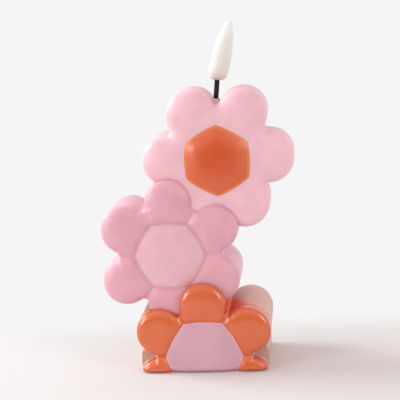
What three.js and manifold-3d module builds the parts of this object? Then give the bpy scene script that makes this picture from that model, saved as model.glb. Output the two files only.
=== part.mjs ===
// A battery candle: three six-petalled wax flowers stacked edge to edge, a leaning LED flame on a
// black wick, and a plastic battery case let into the underside.
// Millimetres, +Z up, the front faces -Y, and the candle stands on z = 0.

import * as THREE from 'three';
import { mergeVertices } from 'three/addons/utils/BufferGeometryUtils.js';
import Module from 'manifold-3d';

const wasm = await Module();
wasm.setup();

// Flowers: six round petals about a six-sided heart. A reach runs from the flower's middle to a petal's
// middle, where the rounds of neighbouring petals stand a petal gap apart. A web with a hollow round edge
// fills the notch between them. A heart inset runs from the ring of petal middles in to the heart's corners.
const baseReach = 26.8;
const middleReach = 27.4;
const topReach = 26.8;
const petalGap = 2.2;
const topPetalGap = 0.2;
const baseWebRadius = 2.1;
const middleWebRadius = 2.3;
const topWebRadius = 1.5;
const baseHeartInset = 6.2;
const middleHeartInset = 8.2;
const topHeartInset = 8.1;
const heartSideBulge = 0.9;

// How the cast faces swell in front of their rims, how deep the grooves between the cells are, and how far
// a heart's dome rises above its petals' domes
const frontWallThickness = 2.9;
const middleRimDepth = 17.7;
const topRimDepth = 12.3;
const baseCrown = 4.4;
const middleCrown = 5.5;
const topCrown = 7;
const baseGrooveDepth = 1.8;
const middleGrooveDepth = 1.5;
const topGrooveDepth = 0.5;
const middleHeartRise = 0.5;
const topHeartRise = 2.5;
const cornerDropDepth = 0.6;
const swellPower = 2.3;
const ringShares = [0.45, 0.72, 0.9, 0.975, 1];
const arcSegments = 14;
const webSegments = 2;
const heartSideSegments = 3;

// How the flowers stack: each one leans away from upright, and its petals run in between those below, so
// that only a little more than their inner ends shows outside the outer round of the flower below
const baseCentreHeight = 8.5;
const lowerPetalShow = 2.05;
const upperPetalShow = 2.48;
const lowerLean = THREE.MathUtils.degToRad(-17);
const upperLean = THREE.MathUtils.degToRad(28.5);

// Gaps
const seamGap = 0.3;
const fitGap = 0.3;
const overrun = 60;

// Orange wax: thin fronts on the base flower's petals, and a heart let into the top flower
const petalInlayDepth = 4;
const heartInlayDepth = 5;

// Webs of plain wax that fill the necks between the base flower's side petals and its feet
const neckWallThickness = 7.5;
const neckWebHeight = 11;
const neckWebRadius = 2;
const neckWebSegments = 4;

// AAA cells
const cellRadius = 5.25;
const cellBodyLength = 43.7;
const cellNubLength = 0.8;
const cellNubRadius = 1.9;
const cellEdge = 0.5;
const cellSpacing = 0.4;
const cellSideRoom = 0.6;
const cellDoorGap = 0.4;

// Contacts
const contactThickness = 0.4;
const contactHeight = 8;
const contactMargin = 1;
const contactTabWidth = 2.4;
const springRoomLength = 4.2;
const springWireRadius = 0.28;
const springWideRadius = 3.4;
const springNarrowRadius = 2.2;
const springTurns = 3;
const springStepsPerTurn = 8;
const springSides = 5;

// Battery case, as large as its two bays need
const caseWall = 1.3;
const caseRecess = 1;
const partitionThickness = 1.2;
const partitionDrop = 2.2;
const boardBayWidth = 8.6;
const wireRoomHeight = 2.7;
const coverThickness = 1.3;
const cavityHeadroom = 2.1;

// Battery door
const doorThickness = 1.6;
const tabReach = 0.7;
const tabThickness = 0.7;
const tabWidth = 4;
const tabSpread = 12;
const tabSlotLip = 0.6;
const tabSlotRise = 0.5;
const latchWidth = 9;
const latchLength = 7;
const latchSlit = 0.8;
const catchWidth = 5;
const catchReach = 1;
const latchGripHeight = 0.45;
const latchGripWidth = 6;
const latchGripLength = 0.8;
const latchGripCount = 3;
const latchGripPitch = 1.6;
const doorRibHeight = 0.5;
const doorRibWidth = 1;

// Circuit board and what is on it
const boardLength = 32;
const boardThickness = 1;
const boardEdgeGap = 0.5;
const boardPostRadius = 1.7;
const boardPostHeight = 4.6;
const boardHoleInset = 3;
const postBoreRadius = 0.95;
const smallScrewShankRadius = 0.6;
const smallScrewShankLength = 4.4;
const smallScrewHeadRadius = 1.4;
const smallScrewHeadHeight = 0.9;
const chipLength = 5;
const chipWidth = 3.6;
const chipHeight = 1.4;
const chipStand = 0.3;
const chipHoleDistance = 5.5;
const chipLegCount = 4;
const chipLegWidth = 0.4;
const chipLegPitch = 1.2;
const chipLegReach = 0.8;
const resistorOffset = 3.2;
const resistorRadius = 0.9;
const resistorLength = 3.6;
const resistorEndLength = 0.9;
const resistorWaist = 0.2;
const crystalHoleDistance = 5;
const crystalRadius = 1;
const crystalLength = 5.6;

// Slide switch
const switchOffset = 4;
const switchLength = 8.6;
const switchWidth = 4.4;
const switchHeight = 3.5;
const switchSlotDepth = 1.3;
const switchTravel = 2;
const stemLength = 1.4;
const stemWidth = 1.3;
const stemBite = 1;
const thumbLength = 3.2;
const thumbWidth = 2.6;
const thumbFloorGap = 0.3;
const thumbRidgeCount = 3;
const thumbRidgePitch = 0.9;
const thumbRidgeWidth = 0.35;
const thumbRidgeHeight = 0.3;

// Screws that hold the cover on the tray
const coverPostRadius = 2.2;
const coverPostInset = 2.9;
const coverPostBoreRadius = 1.1;
const coverScrewShankRadius = 0.75;
const coverScrewShankLength = 6;
const coverScrewHeadRadius = 1.8;
const coverScrewHeadHeight = 1.1;

// Wire tube and wick: they lean to the right, and come out beside the top flower's upper notch.
// Lengths along the stem are measured from that notch.
const stemLean = THREE.MathUtils.degToRad(6);
const wickNotchOffset = -0.7;
const tubeRadius = 2.2;
const tubeBoreRadius = 1.65;
const tubeStart = 1.6;
const tubeProudLength = 2.5;
const collarRadius = 3.6;
const collarHeight = 5;
const collarThroatRadius = 1.9;
const collarMouthRadius = 3;
const roundSegments = 16;
const wickRadius = 1.35;
const wickBoreRadius = 1.02;
const wickSunkLength = 10.9;
const wickProudLength = 14.2;

// LED and flame
const ledRadius = 1.5;
const ledFlangeRadius = 1.85;
const ledFlangeHeight = 0.8;
const ledHeight = 5;
const ledLegRadius = 0.22;
const ledLegOffset = 0.5;
const ledLegTailLength = 1;
const flameOverlapLength = 2.2;
const flameHeight = 33;
const flameRadius = 5.3;
const flameLean = 3.9;
const flameCurl = 0.8;
const flameSegments = 20;
const flameNeckLength = 2.6;
const flameHollowRadius = 2.7;
const flameHollowHeight = 10.5;

// Wires
const wireRadius = 0.45;
const wireOffset = 0.75;
const wireSides = 6;
const lampWireSteps = 64;
const lampWireShares = [1, 0.8, 0.6, 0.4, 0.2, 0.1];
const batteryWireSteps = 16;
const wirePadDistance = 1.6;
const boardPadInset = 2;

const palette = {
  topWax: { color: 0xf2c4cc, roughness: 0.45 },
  middleWax: { color: 0xe8aebc, roughness: 0.42 },
  baseWax: { color: 0xd9a9bb, roughness: 0.42 },
  orangeWax: { color: 0xe0703a, roughness: 0.3 },
  flame: { color: 0xf6efe6, roughness: 0.5 },
  wick: { color: 0x1c181c, roughness: 0.6 },
  led: { color: 0xf4e2b0, roughness: 0.2 },
  case: { color: 0xf1efec, roughness: 0.55 },
  tube: { color: 0xe9e4dc, roughness: 0.6 },
  board: { color: 0x2f6b45, roughness: 0.5 },
  chip: { color: 0x202124, roughness: 0.5 },
  steel: { color: 0xb9bcc0, roughness: 0.3, metalness: 1 },
  cell: { color: 0x3b3f45, roughness: 0.35 },
  resistor: { color: 0xc9b28a, roughness: 0.5 },
  slider: { color: 0x26262a, roughness: 0.5 },
  redWire: { color: 0xb3282d, roughness: 0.5 },
  blackWire: { color: 0x1d1d20, roughness: 0.5 },
};
const materials = Object.fromEntries(
  Object.entries(palette).map(([name, look]) => [name, new THREE.MeshStandardMaterial(look)]),
);

// Solids and meshes

const mergeTolerance = 1e-4;

function solidOf(geometry) {
  const bare = geometry.clone();
  bare.deleteAttribute('normal');
  bare.deleteAttribute('uv');
  const merged = mergeVertices(bare, mergeTolerance);
  const vertProperties = new Float32Array(merged.attributes.position.array);
  const triVerts = new Uint32Array(merged.index.array);
  return new wasm.Manifold(new wasm.Mesh({ numProp: 3, vertProperties, triVerts }));
}

function geometryOf(solid) {
  const { vertProperties, triVerts } = solid.getMesh();
  const geometry = new THREE.BufferGeometry();
  geometry.setAttribute('position', new THREE.BufferAttribute(vertProperties, 3));
  geometry.setIndex(new THREE.BufferAttribute(triVerts, 1));
  geometry.computeVertexNormals();
  return geometry;
}

function joined(solids) {
  return solids.reduce((sum, solid) => sum.add(solid));
}

function cutBy(solid, cutters) {
  return cutters.reduce((rest, cutter) => rest.subtract(cutter), solid);
}

/** A box between two corners. */
function block(x0, x1, y0, y1, z0, z1) {
  const box = new THREE.BoxGeometry(x1 - x0, y1 - y0, z1 - z0);
  return solidOf(box.translate((x0 + x1) / 2, (y0 + y1) / 2, (z0 + z1) / 2));
}

/** A solid turned about the upright line at (x, y), from profile points given as [radius, height]. */
function turned(profile, x = 0, y = 0, segments = roundSegments) {
  const points = profile.map(([radius, height]) => new THREE.Vector2(radius, height));
  const lathe = new THREE.LatheGeometry(points, segments);
  return lathe.rotateX(Math.PI / 2).translate(x, y, 0);
}

/** A plain upright post or bore between two heights. */
function post(radius, z0, z1, x = 0, y = 0, segments = roundSegments) {
  return solidOf(turned([[0, z0], [radius, z0], [radius, z1], [0, z1]], x, y, segments));
}

/** A round section swept along a curve. */
function swept(curve, radius, sides, steps) {
  const round = new THREE.EllipseCurve(0, 0, radius, radius).getPoints(sides);
  const section = new THREE.Shape(round.slice(0, sides));
  return new THREE.ExtrudeGeometry(section, { steps, extrudePath: curve, bevelEnabled: false });
}

const candle = new THREE.Group();

function addPiece(name, shape, material, parent = candle) {
  const geometry = shape.isBufferGeometry ? shape : geometryOf(shape);
  const mesh = new THREE.Mesh(geometry, material);
  mesh.name = name;
  parent.add(mesh);
  return mesh;
}

// Battery case sizes that follow from what the case holds

const cellBayWidth = 4 * cellRadius + cellSpacing + 2 * cellSideRoom;
const caseWidth = 2 * caseWall + cellBayWidth + partitionThickness + boardBayWidth;
const contactRoomLength = 2 * (contactThickness + fitGap) + fitGap;
const caseLength = 2 * caseWall + contactRoomLength + cellBodyLength + cellNubLength + springRoomLength;
const trayHeight = doorThickness + cellDoorGap + 2 * cellRadius + wireRoomHeight;
const trayTop = caseRecess + trayHeight;
const coverTop = trayTop + coverThickness;

// Flower cells: each petal, and the heart, is one swollen cell with its own outline.
// A point of an outline carries drop, its depth there below the middle of a petal's dome: the whole crown
// on a free edge, less in a groove, where the neighbouring dome starts before this one has ended.

const petalTurn = Math.PI / 3;
const halfTurn = petalTurn / 2;

/** The share of the way out at which a dome has fallen by a given depth. */
function shareFallen(depth, crown) {
  return (1 - (1 - depth / crown) ** swellPower) ** (1 / swellPower);
}

/** A flower's full description, from its driving sizes. The web's middle is seen from a petal's middle. */
function flowerOf({ reach, gap, webRadius, heartInset, rimDepth, crown, groove, heartRise, firstPetal }) {
  const petalRadius = (reach - gap) / 2;
  const webReach = reach * Math.cos(halfTurn) + Math.sqrt((petalRadius + webRadius) ** 2 - (reach / 2) ** 2);
  return {
    reach,
    petalRadius,
    webRadius,
    rimDepth,
    crown,
    groove,
    heartRise,
    firstPetal,
    heartApothem: (reach - heartInset) * Math.cos(halfTurn),
    outerRadius: reach + petalRadius,
    notchReach: webReach - webRadius,
    webX: webReach * Math.cos(halfTurn) - reach,
    webZ: webReach * Math.sin(halfTurn),
  };
}

// The base flower is deep enough for the battery case, a wall of plain wax and the orange fronts
const baseRimDepth = caseWidth / 2 + frontWallThickness + petalInlayDepth;

const baseFlower = {
  ...flowerOf({
    reach: baseReach,
    gap: petalGap,
    webRadius: baseWebRadius,
    heartInset: baseHeartInset,
    rimDepth: baseRimDepth,
    crown: baseCrown,
    groove: baseGrooveDepth,
    heartRise: 0,
    firstPetal: halfTurn,
  }),
  x: 0,
  z: baseCentreHeight,
};

/** A flower stacked on another: its centre lies along the lean, its petals' inner ends a show outside it. */
function stackedOn(below, lean, show, flower) {
  const spacing = below.outerRadius + show + flower.reach - flower.petalRadius;
  return { ...flower, x: below.x + spacing * Math.sin(lean), z: below.z + spacing * Math.cos(lean) };
}

const middleFlower = stackedOn(baseFlower, lowerLean, lowerPetalShow, flowerOf({
  reach: middleReach,
  gap: petalGap,
  webRadius: middleWebRadius,
  heartInset: middleHeartInset,
  rimDepth: middleRimDepth,
  crown: middleCrown,
  groove: middleGrooveDepth,
  heartRise: middleHeartRise,
  firstPetal: halfTurn,
}));

const topFlower = stackedOn(middleFlower, upperLean, upperPetalShow, flowerOf({
  reach: topReach,
  gap: topPetalGap,
  webRadius: topWebRadius,
  heartInset: topHeartInset,
  rimDepth: topRimDepth,
  crown: topCrown,
  groove: topGrooveDepth,
  heartRise: topHeartRise,
  firstPetal: 0,
}));

/** Points along one side of the heart, seen from the flower's centre, with the petal at angle 0. */
function heartSide(flower, inset) {
  const apothem = flower.heartApothem - inset;
  const cornerShift = Math.max(0, -inset);
  const half = apothem * Math.tan(halfTurn) - cornerShift / Math.cos(halfTurn);
  const steps = Array.from({ length: heartSideSegments + 1 }, (_, i) => (2 * i) / heartSideSegments - 1);
  return steps.map((t) => ({
    x: apothem + heartSideBulge * (1 - t * t),
    z: t * half,
    drop: flower.groove + (Math.abs(t) < 1 ? 0 : cornerDropDepth),
  }));
}

/**
 * A petal's outline about its own centre, with the heart on its -x side. It is drawn in by inset at the
 * seams, and its free edge, a round between two half webs, is grown outwards by grow.
 */
function petalOutline(flower, inset, grow = 0) {
  const { webX, webZ, crown } = flower;
  const radius = flower.petalRadius + grow;
  const webRadius = flower.webRadius - grow;
  const arcEnd = Math.atan2(webZ, webX);
  const webSweep = halfTurn - arcEnd + Math.asin(inset / webRadius);
  const arc = Array.from({ length: arcSegments + 1 }, (_, i) => {
    const angle = arcEnd * ((2 * i) / arcSegments - 1);
    return { x: radius * Math.cos(angle), z: radius * Math.sin(angle) };
  });
  const web = Array.from({ length: webSegments }, (_, i) => {
    const angle = Math.PI + arcEnd + (webSweep * (i + 1)) / webSegments;
    return { x: webX + webRadius * Math.cos(angle), z: webZ + webRadius * Math.sin(angle) };
  });
  const free = [...web.map((p) => ({ x: p.x, z: -p.z })).reverse(), ...arc, ...web];
  const edge = free.map((p, i) => ({ ...p, drop: crown, free: i < free.length - 1 }));
  const side = heartSide(flower, -inset).map((p) => ({ ...p, x: p.x - flower.reach })).reverse();
  const between = (a, b) => ({ x: (a.x + b.x) / 2, z: (a.z + b.z) / 2, drop: (a.drop + b.drop) / 2 });
  return [...edge, between(edge.at(-1), side[0]), ...side, between(side.at(-1), edge[0])];
}

function heartOutline(flower, inset) {
  const outline = [];
  for (let k = 0; k < 6; k += 1) {
    const [cos, sin] = [Math.cos(k * petalTurn), Math.sin(k * petalTurn)];
    const side = heartSide(flower, inset).slice(0, heartSideSegments);
    outline.push(...side.map((p) => ({ ...p, x: p.x * cos - p.z * sin, z: p.x * sin + p.z * cos })));
  }
  return outline;
}

/**
 * Triangles of one cell: its front dome, its back dome, and its side wall where wanted. The dome stands a
 * crown and a rise in front of the rim.
 */
function cellTriangles(flower, outline, hasWall, rise = 0) {
  const count = outline.length;
  const crown = flower.crown + rise;
  const faceDepth = (share) => flower.rimDepth + crown * (1 - share ** swellPower) ** (1 / swellPower);
  const edges = outline.map((p) => shareFallen(p.drop + rise, crown));
  const corner = (share, i, side) => {
    const p = outline[i % count];
    return [share * p.x, side * faceDepth(share * edges[i % count]), share * p.z];
  };
  const triangles = [];
  const push = (side, a, b, c) => triangles.push(...(side < 0 ? [a, b, c] : [a, c, b]));
  for (const side of [-1, 1]) {
    const middle = [0, side * faceDepth(0), 0];
    for (let i = 0; i < count; i += 1) {
      push(side, middle, corner(ringShares[0], i, side), corner(ringShares[0], i + 1, side));
      for (let k = 1; k < ringShares.length; k += 1) {
        const [inner, outer] = [ringShares[k - 1], ringShares[k]];
        push(side, corner(inner, i, side), corner(outer, i, side), corner(outer, i + 1, side));
        push(side, corner(inner, i, side), corner(outer, i + 1, side), corner(inner, i + 1, side));
      }
    }
  }
  for (let i = 0; i < count; i += 1) {
    if (hasWall(outline[i])) {
      const [frontA, backA] = [corner(1, i, -1), corner(1, i, 1)];
      const [frontB, backB] = [corner(1, i + 1, -1), corner(1, i + 1, 1)];
      triangles.push(frontA, backA, frontB, frontB, backA, backB);
    }
  }
  return triangles;
}

function cellSolid(triangles) {
  const geometry = new THREE.BufferGeometry();
  geometry.setAttribute('position', new THREE.Float32BufferAttribute(triangles.flat(), 3));
  return solidOf(geometry);
}

/** Triangles put in their place: shifted outwards by reach, and turned about the flower's centre. */
function moved(flower, triangles, angle, reach) {
  const [cos, sin] = [Math.cos(angle), Math.sin(angle)];
  return triangles.map(([x, y, z]) => [
    flower.x + (x + reach) * cos - z * sin,
    y,
    flower.z + (x + reach) * sin + z * cos,
  ]);
}

function petalAngle(flower, k) {
  return flower.firstPetal + k * petalTurn;
}

/** A whole flower cast in one piece, heart and petals meeting in grooves. */
function castFlower(flower) {
  const petal = cellTriangles(flower, petalOutline(flower, 0), (p) => p.free);
  const heart = cellTriangles(flower, heartOutline(flower, 0), () => false, flower.heartRise);
  const triangles = moved(flower, heart, flower.firstPetal, 0);
  for (let k = 0; k < 6; k += 1) {
    triangles.push(...moved(flower, petal, petalAngle(flower, k), flower.reach));
  }
  return cellSolid(triangles);
}

/** Everything behind the back of an inlay of some depth, to trim it to its front. */
function behindInlay(flower, depth) {
  return block(-overrun, overrun, depth - flower.rimDepth, overrun, flower.z - overrun, flower.z + overrun);
}

/** The front of one petal as a piece of its own, drawn in from its neighbours by half a seam. */
function petalInlay(flower, k, depth) {
  const triangles = cellTriangles(flower, petalOutline(flower, seamGap / 2), () => true);
  const petal = cellSolid(moved(flower, triangles, petalAngle(flower, k), flower.reach));
  return petal.subtract(behindInlay(flower, depth));
}

function heartInlay(flower, depth) {
  const triangles = cellTriangles(flower, heartOutline(flower, seamGap / 2), () => true, flower.heartRise);
  return cellSolid(moved(flower, triangles, flower.firstPetal, 0)).subtract(behindInlay(flower, depth));
}

/** A straight-sided cutter of an outline, from y0 to y1. */
function outlineCutter(flower, outline, angle, reach, y0, y1) {
  const shape = new THREE.Shape(outline.map((p) => new THREE.Vector2(p.x + reach, p.z)));
  const slab = new THREE.ExtrudeGeometry(shape, { depth: y1 - y0, bevelEnabled: false });
  slab.rotateX(Math.PI / 2).translate(0, y1, 0);
  return solidOf(slab.rotateY(-angle).translate(flower.x, 0, flower.z));
}

/** The room that one petal takes from what lies round it, grown by a gap, as far back as y1. */
function petalRoom(flower, k, gap, y1) {
  const outline = petalOutline(flower, -gap, seamGap);
  return outlineCutter(flower, outline, petalAngle(flower, k), flower.reach, -overrun, y1);
}

function heartRoom(flower, gap, y1) {
  return outlineCutter(flower, heartOutline(flower, -gap), flower.firstPetal, 0, -overrun, y1);
}

/** The room that a flower takes from the one above it: its outline and a seam, right through. */
function flowerRoom(flower, petals) {
  return [...petals.map((k) => petalRoom(flower, k, seamGap, overrun)), heartRoom(flower, seamGap, overrun)];
}

// Wire tube's line, shared by every bore that it passes through

const notchHeight = topFlower.z + topFlower.notchReach;
const notchAlong = (notchHeight - coverTop) / Math.cos(stemLean);
const stemFootOffset = topFlower.x + wickNotchOffset - (notchHeight - coverTop) * Math.tan(stemLean);
const stem = new THREE.Group();
stem.position.set(stemFootOffset, 0, coverTop);
stem.rotation.y = stemLean;
stem.updateMatrix();
candle.add(stem);

function onStem(geometry) {
  return solidOf(geometry.clone().applyMatrix4(stem.matrix));
}

const tubeBore = onStem(turned([
  [0, 0], [tubeRadius + fitGap, 0], [tubeRadius + fitGap, notchAlong + overrun], [0, notchAlong + overrun],
]));
const collarBore = onStem(turned([
  [0, -caseWall], [collarRadius + fitGap, -caseWall],
  [collarRadius + fitGap, collarHeight + fitGap], [0, collarHeight + fitGap],
]));

// Wax. The base flower is one plain casting, with thin orange fronts let into its petals.

const belowFloor = block(-overrun, overrun, -overrun, overrun, -overrun, 0);
const cavityTop = coverTop + cavityHeadroom;
const caseCavity = block(
  -caseLength / 2 - fitGap, caseLength / 2 + fitGap,
  -caseWidth / 2 - fitGap, caseWidth / 2 + fitGap,
  -overrun, cavityTop,
);

/** The web across both necks, with rounded upper corners. */
function neckWeb() {
  const halfWidth = caseLength / 2 + neckWallThickness;
  const outline = new THREE.Shape();
  outline.moveTo(-halfWidth, 0);
  outline.lineTo(halfWidth, 0);
  const [cornerX, cornerZ] = [halfWidth - neckWebRadius, neckWebHeight - neckWebRadius];
  outline.absarc(cornerX, cornerZ, neckWebRadius, 0, Math.PI / 2);
  outline.absarc(-cornerX, cornerZ, neckWebRadius, Math.PI / 2, Math.PI);
  const [front, back] = [petalInlayDepth - baseRimDepth, baseRimDepth];
  const web = new THREE.ExtrudeGeometry(outline, {
    depth: back - front,
    bevelEnabled: false,
    curveSegments: neckWebSegments,
  });
  return solidOf(web.rotateX(Math.PI / 2).translate(0, back, 0));
}

const baseInlays = [
  'base_petal_right', 'base_petal_top', 'base_petal_left', 'base_foot_left', null, 'base_foot_right',
];
const baseCuts = [belowFloor, caseCavity, collarBore, tubeBore];
baseInlays.forEach((name, k) => {
  if (name) {
    const inlay = petalInlay(baseFlower, k, petalInlayDepth);
    addPiece(name, inlay.subtract(belowFloor), materials.orangeWax);
    baseCuts.push(petalRoom(baseFlower, k, seamGap / 2, petalInlayDepth - baseRimDepth + fitGap));
  }
});
addPiece('base_flower_heart', cutBy(castFlower(baseFlower).add(neckWeb()), baseCuts), materials.baseWax);

const middleCuts = [...flowerRoom(baseFlower, [0, 1, 2]), tubeBore];
addPiece('middle_flower', cutBy(castFlower(middleFlower), middleCuts), materials.middleWax);

const topCuts = [
  ...flowerRoom(middleFlower, [0, 1]),
  heartRoom(topFlower, seamGap / 2, heartInlayDepth - topRimDepth + fitGap),
  tubeBore,
];
addPiece('top_flower_petals', cutBy(castFlower(topFlower), topCuts), materials.topWax);
addPiece('top_flower_heart', heartInlay(topFlower, heartInlayDepth), materials.orangeWax);

// Battery case: a tray with a cell bay in front and a board bay behind, and a cover that holds the tube

const halfLength = caseLength / 2;
const halfWidth = caseWidth / 2;
const innerLength = halfLength - caseWall;
const innerWidth = halfWidth - caseWall;
const cellBayBack = -innerWidth + cellBayWidth;
const boardBayFront = cellBayBack + partitionThickness;
const boardBayMiddle = (boardBayFront + innerWidth) / 2;
const bayFloor = caseRecess + caseWall;
const doorTop = caseRecess + doorThickness;
const doorMiddle = (cellBayBack - innerWidth) / 2;
const tabPlaces = [-1, 1].map((side) => doorMiddle + (side * tabSpread) / 2);
const coverPostPlaces = [-1, 1].map((side) => side * (innerLength - coverPostInset));
const boardHoleReach = boardLength / 2 - boardHoleInset;
const boardPostPlaces = [-1, 1].map((side) => side * boardHoleReach);
const chipX = chipHoleDistance - boardHoleReach;
const crystalX = boardHoleReach - crystalHoleDistance;
const boardBottom = bayFloor + boardPostHeight + fitGap;
const boardTop = boardBottom + boardThickness;
const switchSlotHalf = switchTravel + thumbLength / 2 + fitGap;

function buildTray() {
  const shell = block(-halfLength, halfLength, -halfWidth, halfWidth, caseRecess, trayTop);
  const cellBay = block(-innerLength, innerLength, -innerWidth, cellBayBack, -overrun, overrun);
  const boardBay = block(-innerLength, innerLength, boardBayFront, innerWidth, bayFloor, overrun);
  const wireway = block(-innerLength, innerLength, cellBayBack - caseWall, boardBayFront + caseWall,
    trayTop - partitionDrop, overrun);
  const thumbSlot = block(switchOffset - switchSlotHalf, switchOffset + switchSlotHalf,
    boardBayMiddle - thumbWidth / 2 - fitGap, boardBayMiddle + thumbWidth / 2 + fitGap,
    -overrun, bayFloor + fitGap);
  const tabSlots = tabPlaces.map((y) => block(-innerLength - tabReach - fitGap, 0,
    y - tabWidth / 2 - fitGap, y + tabWidth / 2 + fitGap,
    caseRecess + tabSlotLip, doorTop + tabSlotRise));
  const catchNotch = block(innerLength - caseWall, overrun, doorMiddle - catchWidth / 2 - fitGap,
    doorMiddle + catchWidth / 2 + fitGap, -overrun, doorTop + fitGap);
  const hollow = cutBy(shell, [cellBay, boardBay, wireway, thumbSlot, ...tabSlots, catchNotch]);
  const boardPosts = boardPostPlaces.map((x) =>
    post(boardPostRadius, bayFloor - caseWall / 2, bayFloor + boardPostHeight, x, boardBayMiddle));
  const coverPosts = coverPostPlaces.map((x) =>
    post(coverPostRadius, bayFloor - caseWall / 2, trayTop, x, boardBayMiddle));
  const bores = [
    ...boardPostPlaces.map((x) => post(postBoreRadius, bayFloor, overrun, x, boardBayMiddle)),
    ...coverPostPlaces.map((x) =>
      post(coverPostBoreRadius, trayTop - coverScrewShankLength, overrun, x, boardBayMiddle)),
  ];
  return cutBy(joined([hollow, ...boardPosts, ...coverPosts]), bores);
}

function buildCover() {
  const plate = block(-halfLength, halfLength, -halfWidth, halfWidth, trayTop + fitGap, coverTop);
  const collar = onStem(turned([[0, -coverThickness / 2], [collarRadius, -coverThickness / 2],
    [collarRadius, collarHeight], [0, collarHeight]]));
  const throat = onStem(turned([
    [0, -overrun / 4], [collarMouthRadius, -overrun / 4], [collarMouthRadius, -coverThickness],
    [collarThroatRadius, tubeStart - fitGap], [tubeRadius + fitGap, tubeStart - fitGap],
    [tubeRadius + fitGap, overrun], [0, overrun],
  ]));
  const screwHoles = coverPostPlaces.map((x) =>
    post(coverScrewShankRadius + fitGap, 0, overrun, x, boardBayMiddle));
  return cutBy(plate.add(collar), [throat, ...screwHoles]);
}

addPiece('battery_tray', buildTray(), materials.case);
addPiece('case_cover', buildCover(), materials.case);

function sideName(x) {
  return x < 0 ? 'left' : 'right';
}

/** A pan-head screw, head up, with its head resting at height z. */
function panScrew(x, y, z, shankRadius, shankLength, headRadius, headHeight) {
  return solidOf(turned([
    [0, z - shankLength], [shankRadius, z - shankLength], [shankRadius, z], [headRadius, z],
    [headRadius, z + headHeight / 2], [headRadius / 2, z + headHeight], [0, z + headHeight],
  ], x, y));
}

coverPostPlaces.forEach((x) => {
  const screw = panScrew(x, boardBayMiddle, coverTop + fitGap, coverScrewShankRadius, coverScrewShankLength,
    coverScrewHeadRadius, coverScrewHeadHeight);
  addPiece(`cover_screw_${sideName(x)}`, screw, materials.steel);
});

// Battery door: two tabs at the left end hook into the tray and the door tips down about its lower left
// edge; a sprung tongue at the right end holds it shut, with a catch for a fingernail in a notch of the tray

function buildDoor() {
  const [left, right] = [-innerLength + fitGap, innerLength - fitGap];
  const [front, back] = [-innerWidth + fitGap, cellBayBack - fitGap];
  const plate = block(left, right, front, back, caseRecess, doorTop);
  const tabs = tabPlaces.map((y) => block(-innerLength - tabReach, left + tabThickness,
    y - tabWidth / 2, y + tabWidth / 2, doorTop - tabThickness, doorTop));
  const slitPlaces = [-1, 1].map((side) => doorMiddle + (side * latchWidth) / 2);
  const slits = slitPlaces.map((y) =>
    block(right - latchLength, right + overrun, y - latchSlit / 2, y + latchSlit / 2, -overrun, overrun));
  const grips = Array.from({ length: latchGripCount }, (_, i) => {
    const x = right - latchGripPitch * (i + 1);
    return block(x, x + latchGripLength, doorMiddle - latchGripWidth / 2, doorMiddle + latchGripWidth / 2,
      -overrun, caseRecess + latchGripHeight);
  });
  const rib = block(left + latchLength, right - latchLength,
    doorMiddle - doorRibWidth / 2, doorMiddle + doorRibWidth / 2,
    doorTop - doorRibHeight, doorTop + doorRibHeight);
  const nailCatch = block(right - latchGripPitch, right + catchReach, doorMiddle - catchWidth / 2,
    doorMiddle + catchWidth / 2, caseRecess, doorTop);
  return cutBy(joined([plate, ...tabs, rib, nailCatch]), [...slits, ...grips]);
}

addPiece('battery_door', buildDoor(), materials.case);

// Cells and their contacts. The front cell points right, the rear one left, so they are in series.

const cellHeight = doorTop + cellDoorGap + cellRadius;
const cellRows = [
  { name: 'front', y: -innerWidth + cellSideRoom + cellRadius, points: 1 },
  { name: 'rear', y: cellBayBack - cellSideRoom - cellRadius, points: -1 },
];
const nubEnd = innerLength - contactThickness - 2 * fitGap;
const springFoot = innerLength - contactThickness - fitGap;
const cellFlatEnd = cellBodyLength + cellNubLength - nubEnd;

/** A cell lying along x, with its nub towards the side it points to. */
function buildCell({ y, points }) {
  const top = nubEnd;
  const shoulder = top - cellNubLength;
  const bottom = shoulder - cellBodyLength;
  const geometry = turned([
    [0, bottom], [cellRadius - cellEdge, bottom], [cellRadius, bottom + cellEdge],
    [cellRadius, shoulder - cellEdge], [cellRadius - cellEdge, shoulder],
    [cellNubRadius, shoulder], [cellNubRadius, top], [0, top],
  ]);
  return geometry.rotateY((points * Math.PI) / 2).translate(0, y, cellHeight);
}

/** A conical contact spring: a helix that narrows from its foot on the contact to the cell. */
class ConeHelix extends THREE.Curve {
  constructor(foot, length, y, side) {
    super();
    Object.assign(this, { foot, length, y, side });
  }

  getPoint(t, target = new THREE.Vector3()) {
    const angle = 2 * Math.PI * springTurns * t;
    const radius = THREE.MathUtils.lerp(springWideRadius, springNarrowRadius, t);
    return target.set(
      this.side * (this.foot - this.length * t),
      this.y + radius * Math.cos(angle),
      cellHeight + radius * Math.sin(angle),
    );
  }
}

/** The least clear distance between two turns of a spring, measured on points of its centre line. */
function leastCoilGap(curve) {
  const points = curve.getPoints(springTurns * springStepsPerTurn * springSides);
  const perTurn = points.length / springTurns;
  let least = Infinity;
  points.forEach((p, i) => points.slice(Math.ceil(i + perTurn / 2)).forEach((q) => {
    least = Math.min(least, p.distanceTo(q) - 2 * springWireRadius);
  }));
  return least;
}

cellRows.forEach((row) => {
  addPiece(`battery_cell_${row.name}`, solidOf(buildCell(row)), materials.cell);
  const foot = springFoot - fitGap - springWireRadius;
  const length = foot - cellFlatEnd - fitGap - springWireRadius;
  const curve = new ConeHelix(foot, length, row.y, -row.points);
  console.log(`${row.name} spring: least gap between turns ${leastCoilGap(curve).toFixed(2)} mm`);
  addPiece(`contact_spring_${row.name}`,
    solidOf(swept(curve, springWireRadius, springSides, springTurns * springStepsPerTurn)), materials.steel);
});

const [frontRow, rearRow] = cellRows;
const contactBottom = cellHeight - contactHeight / 2;
const contactTop = cellHeight + contactHeight / 2;

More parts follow.
